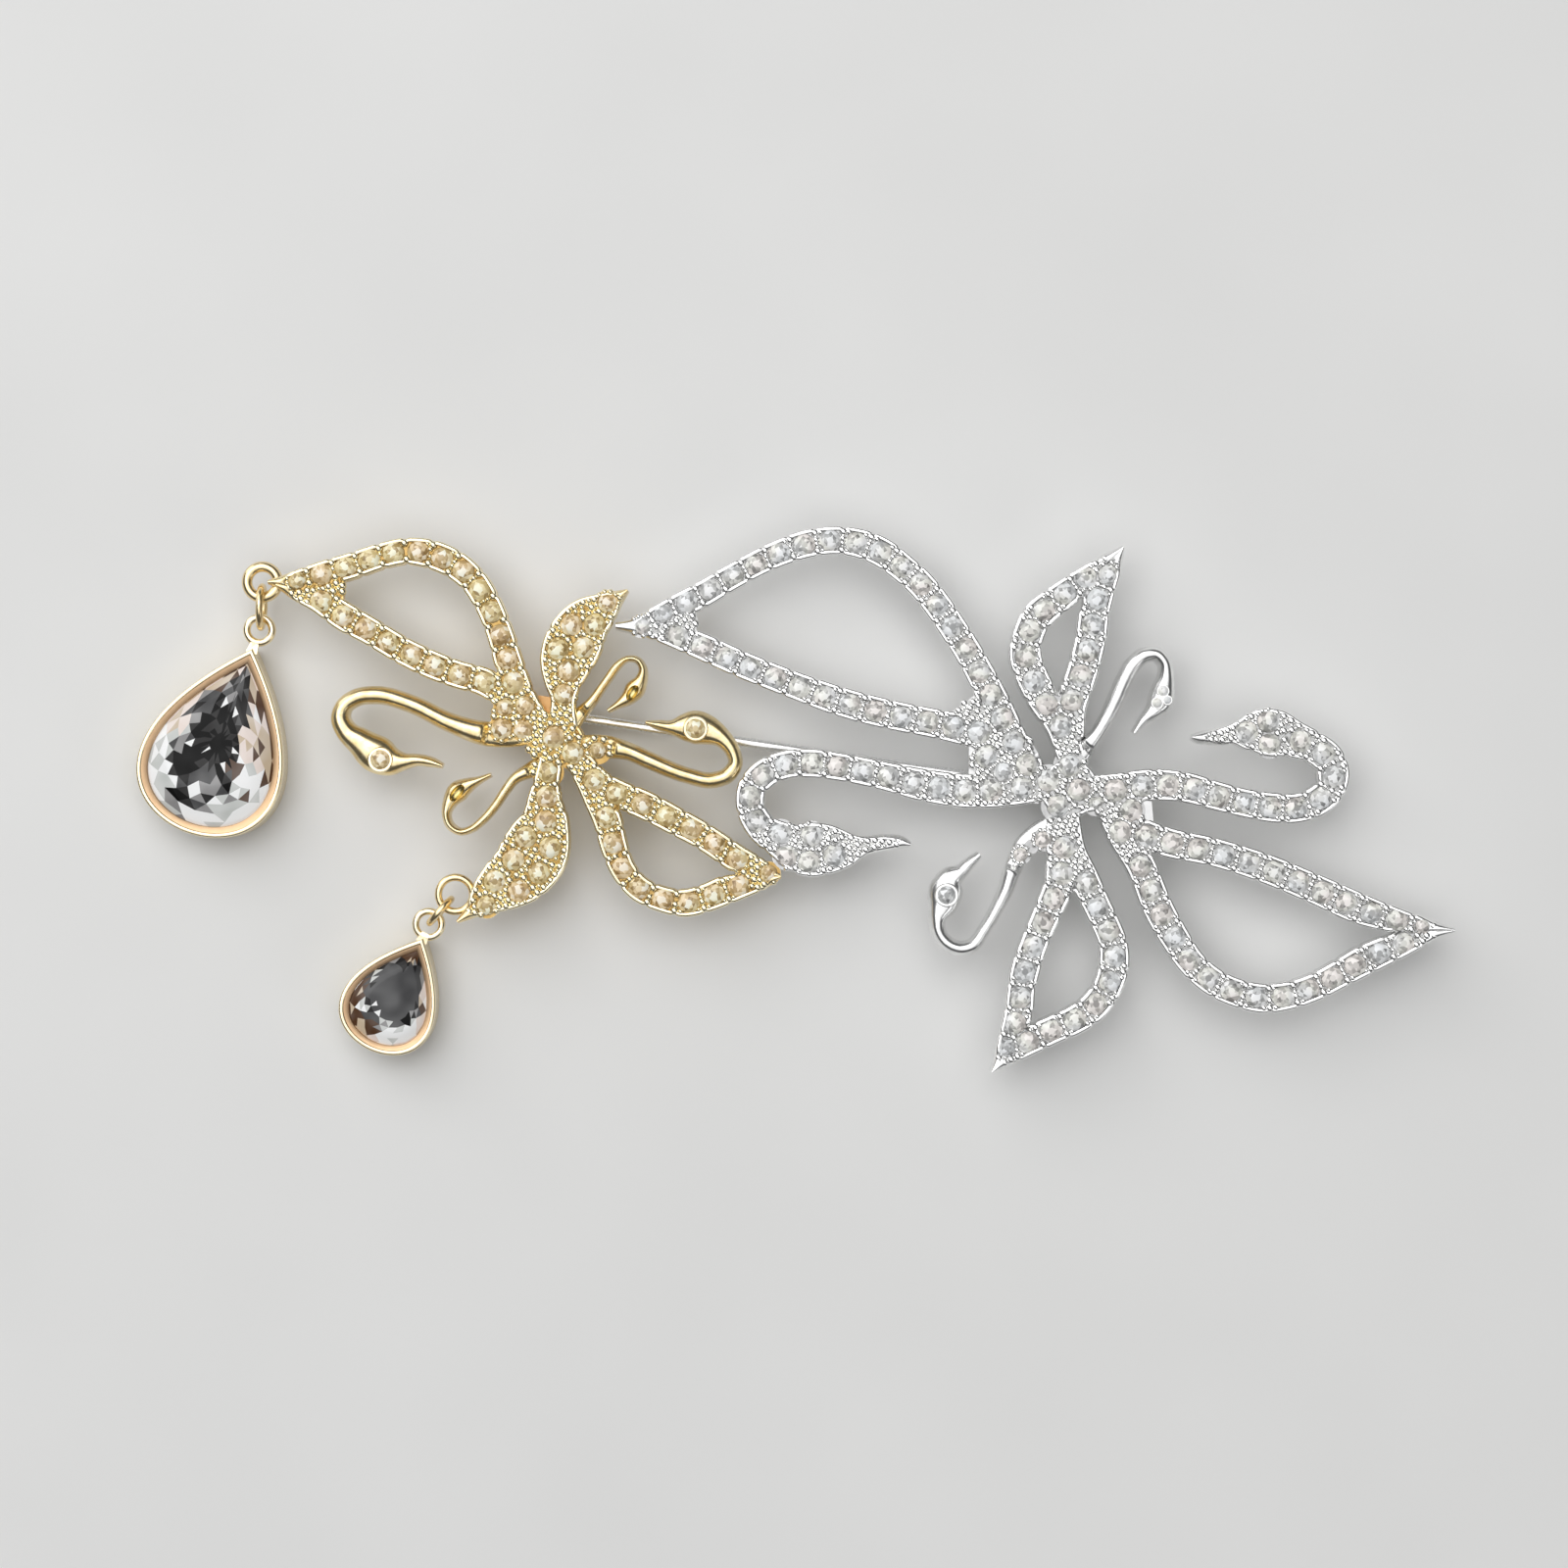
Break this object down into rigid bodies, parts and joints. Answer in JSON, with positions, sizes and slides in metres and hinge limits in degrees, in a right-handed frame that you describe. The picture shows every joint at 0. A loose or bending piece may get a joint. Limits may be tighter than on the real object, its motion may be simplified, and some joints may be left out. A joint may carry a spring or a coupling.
{
  "type": "swan brooch",
  "caption": "Two-tone openwork brooch of swans round two hubs, pave set, with two pear drops and a hinged pin behind.",
  "frame": {"origin": "under the middle of the brooch, on the surface that it lies on face up", "axes": "+X along the brooch from the gold cluster to the silver one, +Y up in the picture, +Z out of its face"},
  "size_m": [0.0985, 0.0408, 0.0058],
  "materials": {
    "gold_metal": "pale gold plate, polished",
    "silver_metal": "rhodium plate, polished",
    "drop_metal": "warm gold plate, polished",
    "champagne_stones": "champagne cut glass",
    "clear_stones": "clear cut glass",
    "crystal": "clear foiled crystal",
    "pin_metal": "polished steel"
  },
  "bodies": {
    "brooch": {"gold_swans": "gold_metal", "silver_swans": "silver_metal", "gold_left_wing_stones": "champagne_stones", "gold_top_wing_stones": "champagne_stones", "gold_right_wing_stones": "champagne_stones", "gold_bottom_wing_stones": "champagne_stones", "gold_hub_stones": "champagne_stones", "gold_left_head_stone": "champagne_stones", "gold_right_head_stone": "champagne_stones", "silver_left_wing_stones": "clear_stones", "silver_top_wing_stones": "clear_stones", "silver_right_wing_stones": "clear_stones", "silver_bottom_wing_stones": "clear_stones", "silver_left_neck_stones": "clear_stones", "silver_right_neck_stones": "clear_stones", "silver_hub_stones": "clear_stones", "silver_lower_head_stone": "clear_stones", "silver_upper_head_stones": "clear_stones", "large_bezel": "drop_metal", "large_jump_ring": "drop_metal", "small_bezel": "drop_metal", "small_jump_ring": "drop_metal", "large_crystal": "crystal", "small_crystal": "crystal", "pin_hinge": "pin_metal", "pin_catch": "pin_metal"},
    "pin_stem": {"pin_stem": "pin_metal"}
  },
  "joints": [
    {"name": "stem_swing", "type": "hinge", "parent": "brooch", "child": "pin_stem", "pos_m": [-0.0186, 0.0064, 0.0016], "axis": [0.1478, 0.989, 0], "range_deg": [0, 75]}
  ]
}
